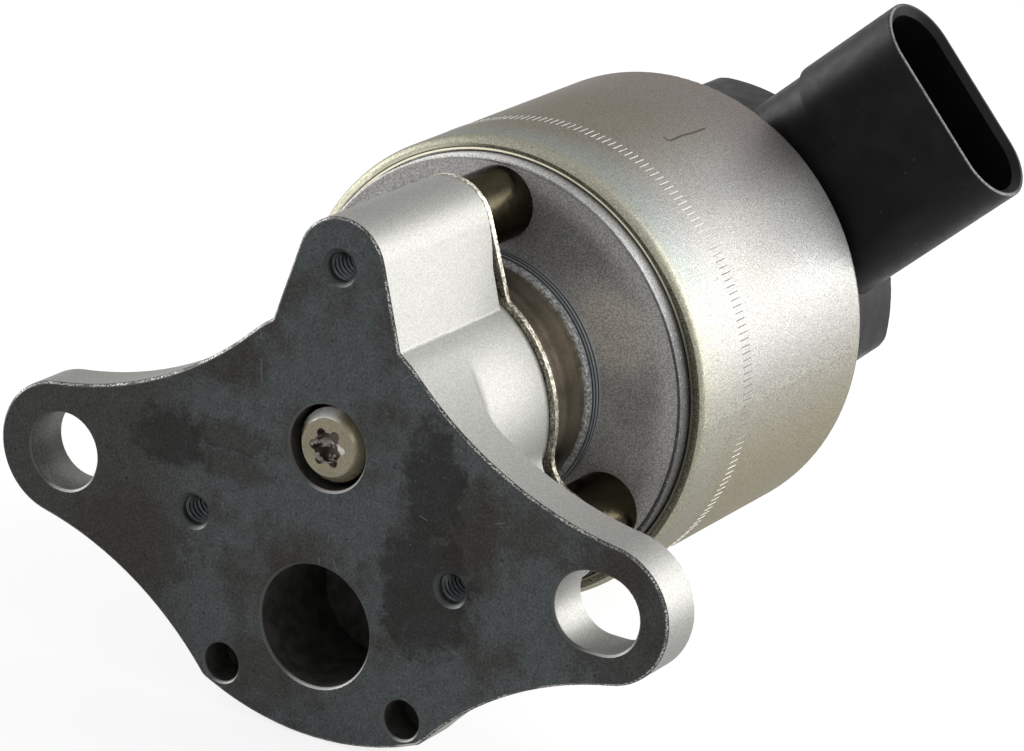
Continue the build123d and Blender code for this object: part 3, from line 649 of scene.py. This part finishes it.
def moulded_paint(name, colour, second, roughness, grain, specular):
    """Moulded or pressed dull material with a fine skin texture, rare pale scuffs and specks."""
    paint = Paint(name, specular=specular)
    tone = paint.step(paint.noise(0.25, 4.0), 0.35, 0.68)
    body = paint.blend(tone, colour, second)
    pale = tuple(0.06 + 0.9 * c for c in second)
    scuff = paint.step(paint.noise(1.0, 2.0, (0.6, 3.0, 2.0)), 0.76, 0.84, 0.0, 0.5)
    speck = paint.step(paint.noise(1.9, 1.0), 0.79, 0.81)
    paint.rough(paint.noise(0.7, 3.0), roughness - 0.05, roughness + 0.05)
    paint.relief(paint.noise(grain, 2.0), 0.012)
    return paint, paint.blend(paint.either(scuff, speck), body, pale)


def moulded(name, colour, second, roughness, grain, specular=0.12):
    """Plain moulded or pressed material."""
    paint, body = moulded_paint(name, colour, second, roughness, grain, specular)
    paint.set("Base Color", body)
    return paint.material


def black_plastic():
    """Black moulded plastic, with painted shade inside the connector's shroud and a painted highlight on
    the land round its mouth, strongest at its front.
    """
    paint, body = moulded_paint(
        "black_plastic", (0.0045, 0.0048, 0.0050), (0.008, 0.0082, 0.0085), 0.44, 4.0, 0.14)
    place = Vector(plug_socket["pos_m"])
    arm = Vector((place.x, 0.0, place.z - axis_height))
    outward = arm.normalized()
    middle = place.y / mm
    mouth = arm.length / mm
    across = paint.calc("SUBTRACT", paint.times(paint.height, outward.x), paint.times(paint.x, outward.z))
    along = paint.calc("ADD", paint.times(paint.x, outward.x), paint.times(paint.height, outward.z))
    past_straight = paint.calc("SUBTRACT", paint.calc("ABSOLUTE", across), socket_half_straight)
    past_straight = paint.calc("MAXIMUM", past_straight, 0.0)
    reach = paint.length(past_straight, paint.calc("SUBTRACT", paint.y, middle))
    wall = socket_half_height - socket_land
    # Painted shade inside the shroud
    hollow_shade = paint.step(reach, wall, wall - socket_fade)
    hollow_shade = paint.times(hollow_shade, paint.step(along, *socket_floor))
    body = paint.blend(hollow_shade, body, (0.0030, 0.0030, 0.0031))
    rim = paint.step(along, mouth - land_depths[0], mouth - land_depths[1])
    land = paint.times(paint.step(reach, wall - socket_fade, wall), rim)
    # Painted highlight on the land, strongest at the front and broken by noise
    painted_gleam = paint.step(paint.y, middle + land_half_span, middle - land_half_span, 0.12, 1.0)
    painted_gleam = paint.times(painted_gleam, paint.step(paint.noise(2.6, 2.0), 0.35, 0.55, 0.45, 1.0))
    body = paint.blend(paint.times(land, painted_gleam), body, (0.15, 0.148, 0.143))
    paint.set("Base Color", body)
    return paint.material


def wound_copper():
    """Enamelled wire in even turns."""
    paint = Paint("copper_wire", metallic=0.9)
    turns = paint.calc("SINE", paint.times(paint.y, tau / wire_pitch))
    crest = paint.step(turns, -1.0, 0.6)
    paint.set("Base Color", paint.blend(crest, (0.16, 0.05, 0.02), (0.55, 0.24, 0.11)))
    paint.rough(paint.noise(0.9, 2.0), 0.30, 0.42)
    paint.relief(turns, 0.06)
    return paint.material


finishes = {
    "coated_iron": coated_iron(),
    "plated_can": plated_can(),
    "flange_steel": blasted_flange(),
    "copper_wire": wound_copper(),
    "stainless": pintle_steel(),
    "neck_steel": turned_metal("neck_steel", (0.20, 0.172, 0.125), (0.31, 0.268, 0.20), 0.32, 0.8, 0.002),
    "ring_steel": grooved_steel(),
    "shield_steel": grained_metal(
        "shield_steel", (0.36, 0.33, 0.26), (0.58, 0.55, 0.47), 0.34, 3.0, spread=0.60),
    "dark_steel": grained_metal(
        "dark_steel", (0.043, 0.037, 0.024), (0.060, 0.052, 0.034), 0.20, 4.0, edge=0.45),
    "bronze": grained_metal("bronze", (0.40, 0.27, 0.14), (0.52, 0.37, 0.20), 0.45, 5.0),
    "pole_iron": grained_metal("pole_iron", (0.30, 0.30, 0.31), (0.42, 0.42, 0.43), 0.38, 4.0),
    "spring_steel": grained_metal("spring_steel", (0.34, 0.34, 0.35), (0.48, 0.48, 0.49), 0.30, 5.0),
    "tinned_brass": grained_metal("tinned_brass", (0.58, 0.55, 0.46), (0.70, 0.67, 0.58), 0.32, 4.0),
    "gasket": moulded("gasket", (0.010, 0.010, 0.010), (0.018, 0.017, 0.016), 0.75, 6.0, 0.1),
    "seal_rubber": moulded("seal_rubber", (0.012, 0.012, 0.012), (0.02, 0.02, 0.02), 0.70, 5.0),
    "black_plastic": black_plastic(),
    "nylon": moulded("nylon", (0.08, 0.08, 0.085), (0.11, 0.11, 0.115), 0.45, 4.0, 0.4),
    "board": moulded("board", (0.03, 0.10, 0.045), (0.045, 0.13, 0.06), 0.45, 3.0, 0.4),
}
for part in frame["record"]["subparts"]:
    surface = nodes[part["node"]].data
    surface.materials.clear()
    surface.materials.append(finishes[part["material_slot"]])


def add_piece(name, points, faces, material):
    """Mesh piece that rides on the housing."""
    mesh = bpy.data.meshes.new(name)
    mesh.from_pydata(points, [], faces)
    mesh.materials.append(material)
    piece = bpy.data.objects.new(name, mesh)
    bpy.context.scene.collection.objects.link(piece)
    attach(piece, "housing")


def on_can(angle, level, height):
    """Point at an angle and level, a little above the can's surface."""
    radius = can_radius + height
    return (radius * cos(angle), level, axis_height + radius * sin(angle))


def tick_metal():
    """Dull metal of the ticks, with painted shade on the can's right side."""
    paint = Paint("tick_metal", metallic=0.1)
    # Painted shade on the ticks on the can's right side
    side = paint.band(paint.height, *tick_shade_heights, tick_shade_fade)
    side = paint.times(side, paint.step(paint.x, *tick_shade_places))
    tone = paint.blend(side, (0.64, 0.635, 0.61), (0.145, 0.145, 0.142))
    paint.set("Base Color", paint.grained(tone, 4.0, 0.12))
    paint.rough(paint.noise(0.9, 2.0), 0.76, 0.84)
    return paint.material


def tick_ring():
    """Ring of short ridges along the axis, rolled into the can."""
    points = []
    faces = []
    half = tick_width / can_radius / 2
    slope = (tick_back - tick_front) * tick_taper
    for index in range(tick_count):
        angle = tau * index / tick_count
        first = len(points)
        for side in (-half, half):
            points.append(on_can(angle + side, tick_front, -tick_height))
            points.append(on_can(angle + side, tick_back, -tick_height))
        points.append(on_can(angle, tick_front + slope, tick_height))
        points.append(on_can(angle, tick_back - slope, tick_height))
        corners = [(0, 1, 3, 2), (0, 4, 5, 1), (2, 3, 5, 4), (0, 2, 4), (1, 5, 3)]
        faces += [tuple(first + corner for corner in face) for face in corners]
    add_piece("tick_ring", points, faces, tick_metal())


def thread(name, centre, material):
    """Helical ridge inside one tapped hole."""
    points = []
    faces = []
    steps = thread_turns * thread_segments
    half = thread_pitch * thread_share / 2
    outer = thread_radius + thread_root
    for index in range(steps + 1):
        angle = tau * index / thread_segments
        level = thread_start + half + thread_pitch * index / thread_segments
        for radius, shift in ((outer, -half), (thread_radius - thread_crest, 0.0), (outer, half)):
            points.append((centre.x + radius * cos(angle), level + shift, centre.z + radius * sin(angle)))
    for index in range(steps):
        first = 3 * index
        for corner in range(3):
            following = (corner + 1) % 3
            faces.append((first + corner, first + following, first + 3 + following, first + 3 + corner))
    faces += [(0, 1, 2), (3 * steps + 2, 3 * steps + 1, 3 * steps)]
    add_piece(name, points, faces, material)


tick_ring()
thread_metal = grained_metal("thread_metal", (0.030, 0.034, 0.036), (0.065, 0.071, 0.074), 0.30, 3.0)
for number, centre in enumerate(screw_centres, 1):
    thread(f"thread_{number}", centre, thread_metal)


def seen_rays(tree):
    """Factor that is 1 for the rays that show the background: camera, glossy and transmission."""
    path = tree.nodes.new("ShaderNodeLightPath")
    total = path.outputs["Is Camera Ray"]
    for name in ("Is Glossy Ray", "Is Transmission Ray"):
        either = tree.nodes.new("ShaderNodeMath")
        either.operation = "MAXIMUM"
        tree.links.new(total, either.inputs[0])
        tree.links.new(path.outputs[name], either.inputs[1])
        total = either.outputs[0]
    return total


def add_world():
    """White background with a softer even fill for the object."""
    world = bpy.data.worlds.new("studio")
    world.use_nodes = True
    tree = world.node_tree
    strength = tree.nodes.new("ShaderNodeMapRange")
    tree.links.new(seen_rays(tree), strength.inputs["Value"])
    strength.inputs["To Min"].default_value = fill_level
    strength.inputs["To Max"].default_value = 1.0
    background = tree.nodes["Background"]
    background.inputs["Color"].default_value = (1.0, 1.0, 1.0, 1.0)
    tree.links.new(strength.outputs[0], background.inputs["Strength"])
    bpy.context.scene.world = world


def add_floor():
    """Plain pale floor under the object, which keeps a soft shadow."""
    material = bpy.data.materials.new("floor")
    material.use_nodes = True
    tree = material.node_tree
    tree.nodes.clear()
    output = tree.nodes.new("ShaderNodeOutputMaterial")
    diffuse = tree.nodes.new("ShaderNodeBsdfDiffuse")
    diffuse.inputs["Color"].default_value = (*floor_colour, 1.0)
    glow = tree.nodes.new("ShaderNodeEmission")
    glow.inputs["Strength"].default_value = floor_glow
    share = tree.nodes.new("ShaderNodeMath")
    share.operation = "MULTIPLY"
    share.inputs[1].default_value = floor_share
    tree.links.new(seen_rays(tree), share.inputs[0])
    mix = tree.nodes.new("ShaderNodeMixShader")
    tree.links.new(share.outputs[0], mix.inputs[0])
    tree.links.new(diffuse.outputs[0], mix.inputs[1])
    tree.links.new(glow.outputs[0], mix.inputs[2])
    tree.links.new(mix.outputs[0], output.inputs["Surface"])
    level = cad_box[0].z - floor_gap
    turns = [tau * side / floor_sides for side in range(floor_sides)]
    rim = [Vector((cos(turn), sin(turn), 0.0)) * floor_radius for turn in turns]
    corners = [(camera_target.x + spot.x, camera_target.y + spot.y, level) for spot in rim]
    mesh = bpy.data.meshes.new("floor")
    mesh.from_pydata(corners, [], [tuple(range(floor_sides))])
    mesh.materials.append(material)
    floor = bpy.data.objects.new("floor", mesh)
    bpy.context.scene.collection.objects.link(floor)


def add_softbox(name, azimuth, elevation, distance, width, height, radiance):
    """Rectangular soft light that looks at the camera's target."""
    light = bpy.data.lights.new(name, "AREA")
    light.shape = "RECTANGLE"
    light.size = width
    light.size_y = height
    light.energy = radiance * pi * width * height
    lamp = bpy.data.objects.new(name, light)
    turn = radians(azimuth)
    rise = radians(elevation)
    towards = Vector((sin(turn) * cos(rise), -cos(turn) * cos(rise), sin(rise)))
    lamp.location = camera_target + towards * distance
    lamp.rotation_euler = towards.to_track_quat("Z", "Y").to_euler()
    lamp.visible_camera = False
    bpy.context.scene.collection.objects.link(lamp)


def add_camera():
    """Camera on a sphere about its target, with a small roll."""
    camera = bpy.data.cameras.new("camera")
    camera.sensor_width = sensor_width
    camera.lens = sensor_width * focal_length_pixels / image_width
    holder = bpy.data.objects.new("camera", camera)
    turn = Matrix.Rotation(radians(camera_azimuth), 4, "Z")
    tilt = Matrix.Rotation(radians(90 - camera_elevation), 4, "X")
    roll = Matrix.Rotation(radians(camera_roll), 4, "Z")
    back = Matrix.Translation((0, 0, camera_distance))
    holder.matrix_world = Matrix.Translation(camera_target) @ turn @ tilt @ roll @ back
    bpy.context.scene.collection.objects.link(holder)
    bpy.context.scene.camera = holder


add_world()
add_floor()
for box_name, settings in softboxes.items():
    add_softbox(box_name, *settings)
add_camera()
bpy.context.scene.view_settings.view_transform = "Standard"
